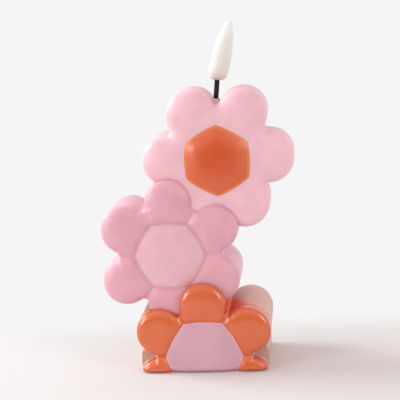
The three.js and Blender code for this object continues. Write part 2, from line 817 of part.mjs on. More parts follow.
/** A flat contact at one end of the bay, between two places across it. */
function contactPlate(side, y0, y1) {
  const [near, far] = [side * springFoot, side * (innerLength - fitGap)];
  return block(Math.min(near, far), Math.max(near, far), y0, y1, contactBottom, contactTop);
}

/** The tab that rises from a contact to take a wire. */
function contactTab(y) {
  return block(-innerLength + fitGap, -springFoot, y - contactTabWidth / 2, y + contactTabWidth / 2,
    contactTop - contactThickness, trayTop - fitGap);
}

const plateHalf = cellRadius - contactMargin;
const tabRow = plateHalf - contactTabWidth / 2;
addPiece('contact_bridge', contactPlate(1, frontRow.y - plateHalf, rearRow.y + plateHalf), materials.steel);
addPiece('contact_negative', contactPlate(-1, frontRow.y - plateHalf, frontRow.y + plateHalf)
  .add(contactTab(frontRow.y + tabRow)), materials.steel);
addPiece('contact_positive', contactPlate(-1, rearRow.y - plateHalf, rearRow.y + plateHalf)
  .add(contactTab(rearRow.y + tabRow)), materials.steel);

// Circuit board, on two posts behind the cells

const boardHalfWidth = (innerWidth - boardBayFront) / 2 - boardEdgeGap;

function buildBoard() {
  const plate = block(-boardLength / 2, boardLength / 2, boardBayMiddle - boardHalfWidth,
    boardBayMiddle + boardHalfWidth, boardBottom, boardTop);
  return cutBy(plate, boardPostPlaces.map((x) => post(postBoreRadius, 0, overrun, x, boardBayMiddle)));
}

function buildChip() {
  const bottom = boardTop + chipStand;
  const halfChipWidth = chipWidth / 2;
  const body = block(chipX - chipLength / 2, chipX + chipLength / 2,
    boardBayMiddle - halfChipWidth, boardBayMiddle + halfChipWidth, bottom + chipStand, bottom + chipHeight);
  const legs = [];
  for (let i = 0; i < chipLegCount; i += 1) {
    const x = chipX + (i - (chipLegCount - 1) / 2) * chipLegPitch;
    for (const side of [-1, 1]) {
      const [inner, outer] = [side * (halfChipWidth - chipStand), side * (halfChipWidth + chipLegReach)];
      legs.push(block(x - chipLegWidth / 2, x + chipLegWidth / 2, boardBayMiddle + Math.min(inner, outer),
        boardBayMiddle + Math.max(inner, outer), bottom, bottom + chipHeight / 2));
    }
  }
  return joined([body, ...legs]);
}

/** A round component lying across the board, from profile points along its length. */
function lyingPart(x, radius, profile) {
  return turned(profile).rotateX(Math.PI / 2).translate(x, boardBayMiddle, boardTop + fitGap + radius);
}

function buildResistor() {
  const half = resistorLength / 2;
  const waist = resistorRadius - resistorWaist;
  return lyingPart(resistorOffset, resistorRadius, [
    [0, -half], [waist, -half], [resistorRadius, -half + resistorWaist],
    [resistorRadius, -half + resistorEndLength], [waist, -half + resistorEndLength + resistorWaist],
    [waist, half - resistorEndLength - resistorWaist], [resistorRadius, half - resistorEndLength],
    [resistorRadius, half - resistorWaist], [waist, half], [0, half],
  ]);
}

function buildCrystal() {
  const half = crystalLength / 2;
  return lyingPart(crystalX, crystalRadius, [
    [0, -half], [crystalRadius, -half], [crystalRadius, half - crystalRadius / 2],
    [crystalRadius / 2, half], [0, half],
  ]);
}

addPiece('circuit_board', buildBoard(), materials.board);
addPiece('timer_chip', buildChip(), materials.chip);
addPiece('resistor', solidOf(buildResistor()), materials.resistor);
addPiece('timer_crystal', solidOf(buildCrystal()), materials.steel);
boardPostPlaces.forEach((x) => {
  const screw = panScrew(x, boardBayMiddle, boardTop + fitGap, smallScrewShankRadius, smallScrewShankLength,
    smallScrewHeadRadius, smallScrewHeadHeight);
  addPiece(`board_screw_${sideName(x)}`, screw, materials.steel);
});

// Slide switch under the board, with its thumb piece showing through the tray's floor

const switchTop = boardBottom - fitGap;
const switchBottom = switchTop - switchHeight;

function buildSwitchBody() {
  const body = block(switchOffset - switchLength / 2, switchOffset + switchLength / 2,
    boardBayMiddle - switchWidth / 2, boardBayMiddle + switchWidth / 2, switchBottom, switchTop);
  const half = stemLength / 2 + switchTravel + fitGap;
  const slot = block(switchOffset - half, switchOffset + half, boardBayMiddle - stemWidth / 2 - fitGap,
    boardBayMiddle + stemWidth / 2 + fitGap, -overrun, switchBottom + switchSlotDepth);
  return body.subtract(slot);
}

function buildSlider() {
  const shaft = block(switchOffset - stemLength / 2, switchOffset + stemLength / 2,
    boardBayMiddle - stemWidth / 2, boardBayMiddle + stemWidth / 2, caseRecess, switchBottom + stemBite);
  const thumb = block(switchOffset - thumbLength / 2, switchOffset + thumbLength / 2,
    boardBayMiddle - thumbWidth / 2, boardBayMiddle + thumbWidth / 2, thumbFloorGap, bayFloor);
  const ridges = Array.from({ length: thumbRidgeCount }, (_, i) => {
    const x = switchOffset + (i - (thumbRidgeCount - 1) / 2) * thumbRidgePitch;
    return block(x - thumbRidgeWidth / 2, x + thumbRidgeWidth / 2, -overrun, overrun,
      -overrun, thumbFloorGap + thumbRidgeHeight);
  });
  return cutBy(shaft.add(thumb), ridges);
}

addPiece('switch_body', buildSwitchBody(), materials.steel);
addPiece('switch_slider', buildSlider(), materials.slider);

// Stem: wire tube, wick, LED and flame, all on the leaning line

function sleeve(outer, bore, start, end) {
  return turned([[bore, start], [outer, start], [outer, end], [bore, end], [bore, start]]);
}

const wickStart = notchAlong - wickSunkLength;
const wickEnd = notchAlong + wickProudLength;
const tubeEnd = notchAlong + tubeProudLength;
addPiece('wire_tube', solidOf(sleeve(tubeRadius, tubeBoreRadius, tubeStart, tubeEnd)), materials.tube, stem);
addPiece('wick', solidOf(sleeve(wickRadius, wickBoreRadius, wickStart, wickEnd)), materials.wick, stem);

const ledBase = wickEnd + fitGap;
const ledLegEnd = wickStart - ledLegTailLength;
const flameStart = wickEnd - flameOverlapLength;

function buildLed() {
  const shoulder = ledBase + ledHeight - ledRadius;
  const domeShares = [0.5, 0.87];
  const lens = turned([
    [0, ledBase], [ledFlangeRadius, ledBase], [ledFlangeRadius, ledBase + ledFlangeHeight],
    [ledRadius, ledBase + ledFlangeHeight], [ledRadius, shoulder],
    [ledRadius * domeShares[1], shoulder + ledRadius * domeShares[0]],
    [ledRadius * domeShares[0], shoulder + ledRadius * domeShares[1]], [0, shoulder + ledRadius],
  ]);
  const legs = [-1, 1].map((side) =>
    post(ledLegRadius, ledLegEnd, ledBase + ledFlangeHeight / 2, side * ledLegOffset, 0, wireSides));
  return joined([solidOf(lens), ...legs]);
}

addPiece('led', buildLed(), materials.led, stem);

// Flame: a hollow drop, turned upright and then leaned and curled to the right

const flameProfileShares = [
  [0.6, 0], [0.83, 0.025], [0.94, 0.07], [1, 0.15], [1, 0.32], [0.94, 0.5], [0.82, 0.65],
  [0.62, 0.79], [0.38, 0.91], [0.2, 0.97], [0, 1],
];

function buildFlame() {
  const neck = tubeBoreRadius;
  const outside = flameProfileShares.map(([radius, height]) => [
    flameRadius * radius, flameStart + flameHeight * height]);
  const hollowTop = flameStart + flameNeckLength + flameHollowHeight;
  const hollow = [
    [0, hollowTop], [flameHollowRadius / 2, hollowTop - flameHollowRadius / 4],
    [flameHollowRadius, hollowTop - flameHollowRadius], [flameHollowRadius, flameStart + flameNeckLength],
    [neck, flameStart + flameNeckLength - fitGap], [neck, flameStart],
  ];
  const geometry = turned([...hollow, ...outside], 0, 0, flameSegments);
  const position = geometry.attributes.position;
  for (let i = 0; i < position.count; i += 1) {
    const rise = Math.max(0, (position.getZ(i) - flameStart) / flameHeight);
    position.setX(i, position.getX(i) + flameLean * rise + flameCurl * rise * rise);
  }
  return geometry;
}

addPiece('flame', solidOf(buildFlame()), materials.flame, stem);

// Wires: two from the board up the tube to the LED's legs, two from the contacts to the board

const stemAcross = new THREE.Vector3(Math.cos(stemLean), 0, -Math.sin(stemLean));
const stemUp = new THREE.Vector3(Math.sin(stemLean), 0, Math.cos(stemLean));
const overPartition = (trayTop - partitionDrop + trayTop) / 2;
const padRow = boardBayFront + boardEdgeGap + 3 * wireRadius;

/** The last stretch of a wire, over the partition and down on to its pad. */
function padEnd(x) {
  return [
    new THREE.Vector3(x, cellBayBack - partitionThickness, overPartition),
    new THREE.Vector3(x, boardBayFront + wireRadius, overPartition - wireRadius),
    new THREE.Vector3(x, padRow, (boardTop + overPartition) / 2),
    new THREE.Vector3(x, padRow, boardTop + fitGap),
  ];
}

/** A lead from the LED down the tube, out under the cover and back to the board. */
function lampWire(side) {
  const inTube = (along, y = 0) => new THREE.Vector3(stemFootOffset, y, coverTop)
    .addScaledVector(stemUp, along).addScaledVector(stemAcross, side * wireOffset);
  return new THREE.CatmullRomCurve3([
    ...lampWireShares.map((share) => inTube((ledLegEnd - fitGap) * share)),
    inTube(collarHeight),
    inTube(tubeStart, 2 * wireRadius / 3),
    inTube(0, 2 * wireRadius),
    new THREE.Vector3(stemFootOffset + side * wireOffset, collarThroatRadius, overPartition + wireRadius),
    ...padEnd(stemFootOffset + side * wirePadDistance / 2),
  ]);
}

/** A lead from the tab of a contact to the board. */
function batteryWire(tabY, padX) {
  const start = -springFoot + fitGap + wireRadius;
  return new THREE.CatmullRomCurve3([
    new THREE.Vector3(start, tabY, overPartition),
    new THREE.Vector3(start + contactTabWidth, tabY, overPartition),
    ...padEnd(padX),
  ]);
}

function addWire(name, route, steps, material) {
  addPiece(name, solidOf(swept(route, wireRadius, wireSides, steps)), material);
}

const positivePad = boardPadInset - boardLength / 2;
const positiveRoute = batteryWire(rearRow.y + tabRow, positivePad);
const negativeRoute = batteryWire(frontRow.y + tabRow, positivePad + wirePadDistance);
addWire('lamp_wire_positive', lampWire(1), lampWireSteps, materials.redWire);
addWire('lamp_wire_negative', lampWire(-1), lampWireSteps, materials.blackWire);
addWire('battery_wire_positive', positiveRoute, batteryWireSteps, materials.redWire);
addWire('battery_wire_negative', negativeRoute, batteryWireSteps, materials.blackWire);

// The origin lies under the middle of the whole candle
const leftPetalX = middleFlower.x - middleFlower.reach * Math.cos(halfTurn);
const leftReach = leftPetalX - middleFlower.petalRadius;
const rightReach = topFlower.x + topFlower.outerRadius;
candle.position.x = -(leftReach + rightReach) / 2;

export default candle;
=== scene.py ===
"""A battery candle of three wax flowers, dressed for a plain studio picture. Sizes are in millimetres
until a mesh is made, and the frame's own metres after that."""

import math

import bmesh
import bpy
from mathutils import Matrix, Vector


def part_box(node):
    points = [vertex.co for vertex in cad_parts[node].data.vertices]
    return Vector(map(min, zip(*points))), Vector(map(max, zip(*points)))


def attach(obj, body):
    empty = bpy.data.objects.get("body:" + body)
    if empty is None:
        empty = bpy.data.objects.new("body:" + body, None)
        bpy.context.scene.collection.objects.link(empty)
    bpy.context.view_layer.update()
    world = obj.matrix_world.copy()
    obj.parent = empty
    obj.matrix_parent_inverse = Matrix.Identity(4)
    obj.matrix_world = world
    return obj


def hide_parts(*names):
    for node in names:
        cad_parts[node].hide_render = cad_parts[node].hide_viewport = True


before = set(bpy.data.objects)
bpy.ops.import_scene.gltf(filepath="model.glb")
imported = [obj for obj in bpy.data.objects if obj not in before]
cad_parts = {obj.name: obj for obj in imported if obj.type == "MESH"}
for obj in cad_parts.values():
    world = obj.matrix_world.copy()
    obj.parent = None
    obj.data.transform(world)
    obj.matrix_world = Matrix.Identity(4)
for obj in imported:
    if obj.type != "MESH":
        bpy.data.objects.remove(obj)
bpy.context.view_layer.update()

MM = 0.001
CANDLE = "candle"

# Flowers: six round petals about a six-sided heart, stacked edge to edge

PETAL_TURN = math.pi / 3
HALF_TURN = PETAL_TURN / 2
HEART_SIDE_BULGE = 0.9     # how far the middle of a heart's side swells out
CORNER_POWER = 6           # how late on its way to a corner a heart's side drops from groove to seam


class Flower:
    """One flower's sizes. Its petals stand on a ring of radius reach, a gap apart, with hollow webs between
    them, and the heart's corners lie an inset inside that ring. Each cell is a dome in front of the rim
    plane, a crown high, and the heart's is a rise higher. Measured from the petals' crown, the heart's sides
    lie a groove deep and its corners a seam deep. The greater the swell, the flatter a dome is on top."""

    def __init__(self, reach, gap, web_radius, heart_inset, rim_depth, crown, groove, seam, rise, swell,
                 first_petal):
        self.reach, self.petal_radius, self.web_radius = reach, (reach - gap) / 2, web_radius
        self.heart_apothem = (reach - heart_inset) * math.cos(HALF_TURN)
        self.rim_depth, self.crown, self.groove, self.seam = rim_depth, crown, groove, seam
        self.rise, self.swell, self.first_petal = rise, swell, first_petal
        self.outer_radius = reach + self.petal_radius
        rise_to_web = math.sqrt((self.petal_radius + web_radius) ** 2 - (reach / 2) ** 2)
        web_reach = reach * math.cos(HALF_TURN) + rise_to_web
        self.notch_reach = web_reach - web_radius
        self.web = (web_reach * math.cos(HALF_TURN) - reach, web_reach * math.sin(HALF_TURN))
        self.x = self.z = 0.0

    def placed(self, x, z):
        self.x, self.z = x, z
        return self

    def stacked_on(self, below, lean, show):
        """Stands on the flower below, its petals' inner ends a show outside the other's outer round."""
        spacing = below.outer_radius + show + self.reach - self.petal_radius
        return self.placed(below.x + spacing * math.sin(lean), below.z + spacing * math.cos(lean))

    def petal_angle(self, k):
        return self.first_petal + k * PETAL_TURN

    def fallen(self, share):
        """How much of a dome's height is lost at a share of the way out."""
        return 1 - (1 - min(share, 1) ** self.swell) ** (1 / self.swell)

    def share_fallen(self, fall):
        """The share of the way out at which a dome has lost a part of its height."""
        return (1 - (1 - fall) ** self.swell) ** (1 / self.swell)


def centre_x(node):
    low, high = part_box(node)
    return (low.x + high.x) / 2 / MM


BASE = Flower(
    reach=26.8, gap=2.2, web_radius=1.5, heart_inset=6.2, rim_depth=24.4, crown=4.4,
    groove=2.5, seam=4.3, rise=0, swell=3, first_petal=HALF_TURN).placed(x=centre_x("base_petal_top"), z=8.5)
MIDDLE = Flower(
    reach=27.4, gap=2.2, web_radius=2.3, heart_inset=8.2, rim_depth=17.7, crown=5.5,
    groove=2.1, seam=3, rise=0.5, swell=2.3, first_petal=HALF_TURN
).stacked_on(BASE, lean=math.radians(-17), show=2.05)
TOP = Flower(
    reach=26.8, gap=0.2, web_radius=1.5, heart_inset=8.1, rim_depth=12.3, crown=7,
    groove=0.7, seam=1.3, rise=3.8, swell=2.3, first_petal=0
).stacked_on(MIDDLE, lean=math.radians(28.5), show=2.48)

PETAL_FRONT = 4      # how far the orange fronts of the base, and the top's heart, reach behind the rim plane
HEART_FRONT = 5
FRONT_EDGE = PETAL_FRONT - BASE.rim_depth     # so here the orange fronts end
NECK_WIDTH = 34      # web of plain wax that fills the necks over the feet: half width, height, corner
NECK_HEIGHT = 11
NECK_CORNER = 2
FOOT_ROUND = 3       # rounding of the wax where it meets the floor
CASE_GAP = 0.3       # between the battery case and the wax
HAIRLINE = 0.03      # between two waxes that are bonded
ROOM_LAP = 0.02      # how far neighbouring rooms run over their shared seam, so that no film of wax stays
TOUCH = 0.1          # how far cells run into each other before they melt together
SUNK = 1.2           # how far a flower's wax runs on into the one below it
STAIN_AND_GLOW_DEPTH = 28     # how much further back the orange reaches in the creases, partly run paint and partly painted glow, and how wide
STAIN_AND_GLOW_REACH = 8
STAIN_AND_GLOW_MARGIN = 0.2   # the web across the necks, as the stain and glow mark sees it, starts this far outside the petals
NECK_MARGIN = 1      # and ends this far above its height

ARC_STEPS = 56       # how finely a petal's round, its webs, the heart's sides, the seams, the domes from
WEB_STEPS = 12       # middle to rim, and the corners of the neck web are divided
SIDE_STEPS = 24
RUN_STEPS = 10
RING_COUNT = 18
CORNER_STEPS = 6
SIDE_MIDDLE = 1      # half of the stretch of a heart's side that stays in place when a wedge is widened
FAR = 200            # beyond the whole candle
UNDER_FLOOR = -1     # where what the floor cuts off begins


def steps(count, low=0.0, high=1.0):
    return [low + (high - low) * i / count for i in range(count + 1)]


def heart_side(flower, grow):
    """One side of the heart as (x, z, drop), with the petal it faces at angle 0."""
    apothem = flower.heart_apothem + grow
    half = apothem * math.tan(HALF_TURN)
    extra = flower.seam - flower.groove
    return [(apothem + HEART_SIDE_BULGE * (1 - t * t), t * half, flower.groove + extra * t ** CORNER_POWER)
            for t in steps(SIDE_STEPS, -1, 1)]


def petal_outline(flower, grow=0.0, out=0.0):
    """A petal's outline about its own centre, its heart on the -x side, as (x, z, drop). It is grown
    across the seams by grow, and its free edge, a round between two half webs, by out."""
    radius, web_radius = flower.petal_radius + out, flower.web_radius - out
    web_x, web_z = flower.web
    arc_end = math.atan2(web_z, web_x)
    sweep = HALF_TURN - arc_end - math.asin(grow / web_radius)
    arc = [(radius * math.cos(a), radius * math.sin(a)) for a in steps(ARC_STEPS, -arc_end, arc_end)]
    turns = [math.pi + arc_end + sweep * t for t in steps(WEB_STEPS)[1:]]
    web = [(web_x + web_radius * math.cos(a), web_z + web_radius * math.sin(a)) for a in turns]
    free = [(x, -z) for x, z in reversed(web)] + arc + web
    side = [(x - flower.reach, z, drop) for x, z, drop in reversed(heart_side(flower, -grow))]

    def run(corner, notch):
        """From a corner of the heart out along the seam, which falls away like a rim."""
        (x0, z0, low), (x1, z1) = corner, notch
        shares = [math.sin(t * math.pi / 2) for t in steps(RUN_STEPS)[1:-1]]
        rest = flower.crown - low
        return [(x0 + (x1 - x0) * t, z0 + (z1 - z0) * t, low + rest * flower.fallen(t)) for t in shares]

    edge = [(x, z, flower.crown) for x, z in free]
    return edge + run(side[0], free[-1])[::-1] + side + run(side[-1], free[0])


def heart_outline(flower, grow=0.0):
    """The heart's six sides as one outline of (x, z, drop)."""
    outline = []
    for k in range(6):
        c, s = math.cos(k * PETAL_TURN), math.sin(k * PETAL_TURN)
        outline += [(x * c - z * s, x * s + z * c, drop) for x, z, drop in heart_side(flower, grow)[:-1]]
    return outline


def in_place(flower, points, angle, reach):
    """Points (x, z), moved out by reach and turned about the flower's centre."""
    c, s = math.cos(angle), math.sin(angle)
    return [(flower.x + (p[0] + reach) * c - p[1] * s, flower.z + (p[0] + reach) * s + p[1] * c)
            for p in points]


def petal_place(flower, k, grow=0.0, out=0.0):
    return in_place(flower, petal_outline(flower, grow, out), flower.petal_angle(k), flower.reach)


def heart_place(flower, grow=0.0):
    return in_place(flower, heart_outline(flower, grow), flower.first_petal, 0)


def petal_wedge(flower, k, grow):
    """All that lies between a petal's two seams, from the heart's side outwards, grown across them."""
    shift = grow / math.cos(HALF_TURN)
    side = [(x, z + math.copysign(shift, z) * (abs(z) > SIDE_MIDDLE))
            for x, z, _ in heart_side(flower, -grow)]
    reach = FAR * math.tan(HALF_TURN) + shift
    return in_place(flower, side + [(FAR, reach), (FAR, -reach)], flower.petal_angle(k), 0)


def sunk_rooms(below, petals):
    """What a flower leaves free for the one below, less the depth that its wax runs on into it."""
    return [prism(petal_place(below, k, TOUCH, -SUNK)) for k in petals] + [prism(heart_place(below))]


# Meshes

def new_object(name, mesh):
    data = bpy.data.meshes.new(name)
    bmesh.ops.recalc_face_normals(mesh, faces=mesh.faces)
    mesh.to_mesh(data)
    mesh.free()
    piece = bpy.data.objects.new(name, data)
    bpy.context.scene.collection.objects.link(piece)
    return piece


def settled(piece):
    """Applies a piece's modifiers for good."""
    data = bpy.data.meshes.new_from_object(piece.evaluated_get(bpy.context.evaluated_depsgraph_get()))
    piece.modifiers.clear()
    piece.data = data
    return piece


def add_rings(mesh, rings):
    """Joins rings of equal length by quads."""
    for inner, outer in zip(rings, rings[1:]):
        count = len(inner)
        for i in range(count):
            j = (i + 1) % count
            mesh.faces.new([inner[i], outer[i], outer[j], inner[j]])


def add_fan(mesh, middle, ring):
    for i in range(len(ring)):
        mesh.faces.new([middle, ring[i], ring[(i + 1) % len(ring)]])


def add_cell(mesh, flower, outline, angle, reach, rise=0.0):
    """Adds one swollen closed cell to a bmesh: front dome, back dome and side wall."""
    c, s = math.cos(angle), math.sin(angle)
    crown = flower.crown + rise
    edges = [flower.share_fallen((drop + rise) / crown) for _, _, drop in outline]

    def vertex(share, point, edge, side):
        x, z = share * point[0] + reach, share * point[1]
        depth = flower.rim_depth + crown * (1 - flower.fallen(share * edge))
        return mesh.verts.new(Vector((flower.x + x * c - z * s, side * depth, flower.z + x * s + z * c)) * MM)

    rims = []
    for side in (-1, 1):
        shares = [math.sin(math.pi / 2 * k / RING_COUNT) for k in range(1, RING_COUNT + 1)]
        rings = [[vertex(share, p, e, side) for p, e in zip(outline, edges)] for share in shares]
        add_fan(mesh, vertex(0, outline[0], 0, side), rings[0])
        add_rings(mesh, rings)
        rims.append(rings[-1])
    add_rings(mesh, rims)


def add_prism(mesh, points, y0, y1):
    """Adds a straight prism to a bmesh, from an outline of (x, z) points."""
    rings = [[mesh.verts.new(Vector((x, y, z)) * MM) for x, z in points] for y in (y0, y1)]
    mesh.faces.new(rings[0])
    mesh.faces.new(rings[1][::-1])
    add_rings(mesh, rings)


def prism(points, y0=-FAR, y1=FAR):
    mesh = bmesh.new()
    add_prism(mesh, points, y0, y1)
    return new_object("cutter", mesh)


def rectangle(x0, x1, z0, z1):
    return [(x0, z0), (x1, z0), (x1, z1), (x0, z1)]


def shaped(piece, operation, cutters):
    """Cuts each cutter out of a piece, or keeps what lies in it, and removes the cutters."""
    for cutter in cutters:
        boolean = piece.modifiers.new("shape", "BOOLEAN")
        boolean.operation = operation
        boolean.solver = "MANIFOLD"
        boolean.object = cutter
    settled(piece)
    for cutter in cutters:
        bpy.data.objects.remove(cutter)
    return piece


def copied(piece, name):
    twin = bpy.data.objects.new(name, piece.data.copy())
    bpy.context.scene.collection.objects.link(twin)
    return twin


def melted(piece, voxel, passes):
    """Melts a piece's cells into one skin with soft creases."""
    remesh = piece.modifiers.new("skin", "REMESH")
    remesh.mode = "VOXEL"
    remesh.voxel_size = voxel * MM
    smooth = piece.modifiers.new("soften", "SMOOTH")
    smooth.factor = 0.5
    smooth.iterations = passes
    return settled(piece)


def flower_skin(name, flower, voxel, passes, extra=(), cutters=()):
    """A whole flower as one melted skin. Extra prisms melt into it, and what the cutters cut is softened."""
    mesh = bmesh.new()
    add_cell(mesh, flower, heart_outline(flower, TOUCH), flower.first_petal, 0, flower.rise)
    for k in range(6):
        add_cell(mesh, flower, petal_outline(flower, TOUCH), flower.petal_angle(k), flower.reach)
    for points, y0, y1 in extra:
        add_prism(mesh, points, y0, y1)
    skin = melted(new_object(name, mesh), voxel, 0)
    if cutters:
        shaped(skin, "DIFFERENCE", cutters)
    return melted(skin, voxel, passes)


def round_foot(piece, flower):
    """Rounds the wax where it meets the floor: each slice near it shrinks a little."""
    end = flower.x + NECK_WIDTH
    for vertex in piece.data.vertices:
        x, y, z = vertex.co / MM
        if z < FOOT_ROUND:
            shrink = FOOT_ROUND - math.sqrt(FOOT_ROUND ** 2 - (FOOT_ROUND - max(z, 0)) ** 2)
            x = flower.x + (x - flower.x) * (1 - shrink / end)
            y *= 1 - shrink / flower.rim_depth
            vertex.co = Vector((x, y, z)) * MM


# Wax

BASE_VOXEL = 0.4     # fineness of the melted skins
VOXEL = 0.5
BASE_PASSES = 3      # the more smoothing passes, the softer the creases
MIDDLE_PASSES = 5
TOP_PASSES = 60
WAX_SHARP = math.radians(48)     # edges bent more than this stay sharp


def neck_web():
    """The web of plain wax across both necks, with rounded upper corners."""
    turns = steps(CORNER_STEPS, 0, math.pi / 2)
    corner = [(NECK_CORNER * math.cos(a), NECK_CORNER * math.sin(a)) for a in turns]
    right = [(NECK_WIDTH - NECK_CORNER + x, NECK_HEIGHT - NECK_CORNER + z) for x, z in corner]
    outline = [(NECK_WIDTH, UNDER_FLOOR)] + right
    outline += [(-x, z) for x, z in reversed(outline)]
    return [(BASE.x + x, z) for x, z in outline]


def case_room():
    """The cavity that the battery case fills from below."""
    low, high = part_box("battery_tray")
    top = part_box("case_cover")[1].z
    outline = rectangle(low.x / MM - CASE_GAP, high.x / MM + CASE_GAP, UNDER_FLOOR, top / MM)
    return prism(outline, low.y / MM - CASE_GAP, high.y / MM + CASE_GAP)


def base_pieces():
    """The base's casting and its five orange fronts, each with the CAD node that it replaces."""
    web = (neck_web(), FRONT_EDGE, BASE.rim_depth)
    below_floor = prism(rectangle(-FAR, FAR, -FAR, 0))
    skin = flower_skin("wax_base", BASE, BASE_VOXEL, BASE_PASSES, [web], [below_floor])
    round_foot(skin, BASE)
    names = ["petal_right", "petal_top", "petal_left", "foot_left", None, "foot_right"]
    pieces = []
    rooms = []
    for k, name in enumerate(names):
        if name:
            room = prism(petal_wedge(BASE, k, -HAIRLINE), -FAR, FRONT_EDGE)
            pieces.append((shaped(copied(skin, "wax_" + name), "INTERSECT", [room]), "base_" + name))
            rooms.append(prism(petal_wedge(BASE, k, ROOM_LAP), -FAR, FRONT_EDGE + HAIRLINE))
    shaped(skin, "DIFFERENCE", rooms + [case_room()])
    return [(skin, "base_flower_heart")] + pieces


def middle_piece():
    skin = flower_skin("wax_middle", MIDDLE, VOXEL, MIDDLE_PASSES)
    return shaped(skin, "DIFFERENCE", sunk_rooms(BASE, (0, 1, 2))), "middle_flower"


def top_pieces():
    """The top's petals and its orange heart, each with the CAD node that it replaces."""
    back = HEART_FRONT - TOP.rim_depth
    skin = flower_skin("wax_top", TOP, VOXEL, TOP_PASSES)
    heart_room = prism(heart_place(TOP, -HAIRLINE), -FAR, back)
    heart = shaped(copied(skin, "wax_top_heart"), "INTERSECT", [heart_room])
    rooms = sunk_rooms(MIDDLE, (0, 1)) + [prism(heart_place(TOP), -FAR, back + HAIRLINE)]
    return [(shaped(skin, "DIFFERENCE", rooms), "top_flower_petals"), (heart, "top_flower_heart")]


def heart_distance(flower, x, z):
    """How far inside the heart's outline a point lies, in millimetres."""
    x, z = x - flower.x, z - flower.z
    turn = math.atan2(z, x) - flower.first_petal
    turn -= PETAL_TURN * round(turn / PETAL_TURN)
    out, along = math.hypot(x, z) * math.cos(turn), math.hypot(x, z) * math.sin(turn)
    half = flower.heart_apothem * math.tan(HALF_TURN)
    return flower.heart_apothem + HEART_SIDE_BULGE * (1 - (along / half) ** 2) - out


def stain_and_glow(flower, x, z):
    """How much further back the orange reaches than elsewhere, in metres, partly run paint and partly painted
    glow of light through the wax: most beside the top petal's creases, and not at all on the web across the
    necks."""
    def distance(angle, reach):
        return math.dist((x, z), in_place(flower, [(0, 0)], angle, reach)[0])

    to_petal = min(distance(flower.petal_angle(k), flower.reach) for k in range(6))
    to_notches = [distance(flower.petal_angle(k) + HALF_TURN, flower.notch_reach) for k in (0, 1)]
    on_web = (z < NECK_HEIGHT + NECK_MARGIN and distance(0, 0) > flower.notch_reach
              and to_petal > flower.petal_radius + STAIN_AND_GLOW_MARGIN)
    if on_web:
        return -STAIN_AND_GLOW_DEPTH * MM
    return sum(STAIN_AND_GLOW_DEPTH * math.exp(-(d / STAIN_AND_GLOW_REACH) ** 2) for d in to_notches) * MM


def add_marks(piece, flower):
    """Stores on each point what the materials go by."""
    points = [(v.co.x / MM, v.co.z / MM) for v in piece.data.vertices]
    for name, measure in (("heart_distance", heart_distance), ("stain_and_glow", stain_and_glow)):
        layer = piece.data.attributes.new(name, "FLOAT", "POINT")
        layer.data.foreach_set("value", [measure(flower, x, z) for x, z in points])


wax = base_pieces() + [middle_piece()] + top_pieces()
for piece, replaced in wax:
    flower = TOP if "top_flower" in replaced else MIDDLE if "middle" in replaced else BASE
    add_marks(piece, flower)
    piece.data.shade_smooth()
    piece.data.set_sharp_from_angle(angle=WAX_SHARP)
    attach(piece, CANDLE)
    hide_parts(replaced)


# Flame: a smooth drop with a short bore for the wick, on the stem's leaning line

STEM_LEAN = math.radians(6)
WICK_OFFSET = -0.7   # from the top flower's middle line
FLAME_START = 12.6   # along the stem from the notch
FLAME_HEIGHT = 32.4
FLAME_RADIUS = 5.3
FLAME_LEAN = 3.9     # how far the tip lies beside the stem's line: a straight part and a curved one
FLAME_CURL = 0.8
FLAME_BORE = 1.65    # the bore's radius, and its two ends as shares of the flame's height
BORE_ENDS = (0.07, 0.01)
FLAME_PROFILE = [(0.6, 0), (0.83, 0.025), (0.94, 0.07), (1, 0.15), (1, 0.32), (0.94, 0.5), (0.82, 0.65),
                 (0.62, 0.79), (0.38, 0.91), (0.2, 0.97), (0, 1)]     # shares of its radius and height
PROFILE_STEPS = 5
FLAME_TURNS = 48
FLAME_SHARP = math.radians(50)


def smooth_profile(points, count):
    """Points on a smooth curve through a profile."""
    ends = [points[0]] + points + [points[-1]]
    curve = []
    for a, b, c, d in zip(ends, ends[1:], ends[2:], ends[3:]):
        for t in steps(count)[:-1]:
            curve.append(tuple(0.5 * (2 * q + (r - p) * t + (2 * p - 5 * q + 4 * r - s) * t ** 2
                                      + (3 * q - p - 3 * r + s) * t ** 3) for p, q, r, s in zip(a, b, c, d)))
    return curve + [points[-1]]


def add_flame():
    foot = Vector((TOP.x + WICK_OFFSET, 0, TOP.z + TOP.notch_reach))
    up = Vector((math.sin(STEM_LEAN), 0, math.cos(STEM_LEAN)))
    across = Vector((math.cos(STEM_LEAN), 0, -math.sin(STEM_LEAN)))
    mesh = bmesh.new()

    def vertex(radius, rise, angle):
        """A point at a share of the flame's height."""
        shift = FLAME_LEAN * rise + FLAME_CURL * rise ** 2
        place = foot + up * (FLAME_START + FLAME_HEIGHT * rise) + across * (radius * math.cos(angle) + shift)
        return mesh.verts.new((place + Vector((0, radius * math.sin(angle), 0))) * MM)

    outside = [(FLAME_RADIUS * r, h) for r, h in smooth_profile(FLAME_PROFILE, PROFILE_STEPS)]
    bore = [(FLAME_BORE, h) for h in BORE_ENDS]
    turns = steps(FLAME_TURNS, 0, 2 * math.pi)[:-1]
    rings = [[vertex(r, h, a) for a in turns] for r, h in bore + outside[:-1]]
    add_fan(mesh, vertex(0, BORE_ENDS[0], 0), rings[0])
    add_rings(mesh, rings)
    add_fan(mesh, vertex(0, 1, 0), rings[-1])
    piece = new_object("milky_flame", mesh)
    piece.data.shade_smooth()
    piece.data.set_sharp_from_angle(angle=FLAME_SHARP)
    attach(piece, CANDLE)
    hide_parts("flame")
    return piece


flame = add_flame()


# Materials

CLOUD_SCALE, GLOSS_SCALE, RIPPLE_SCALE, DIMPLE_SCALE = 110, 260, 45, 1400     # grains to the metre
GLOSS_SPREAD = 0.12
NOISE_LOW, NOISE_HIGH = 0.3, 0.7     # between which nearly all of a noise lies


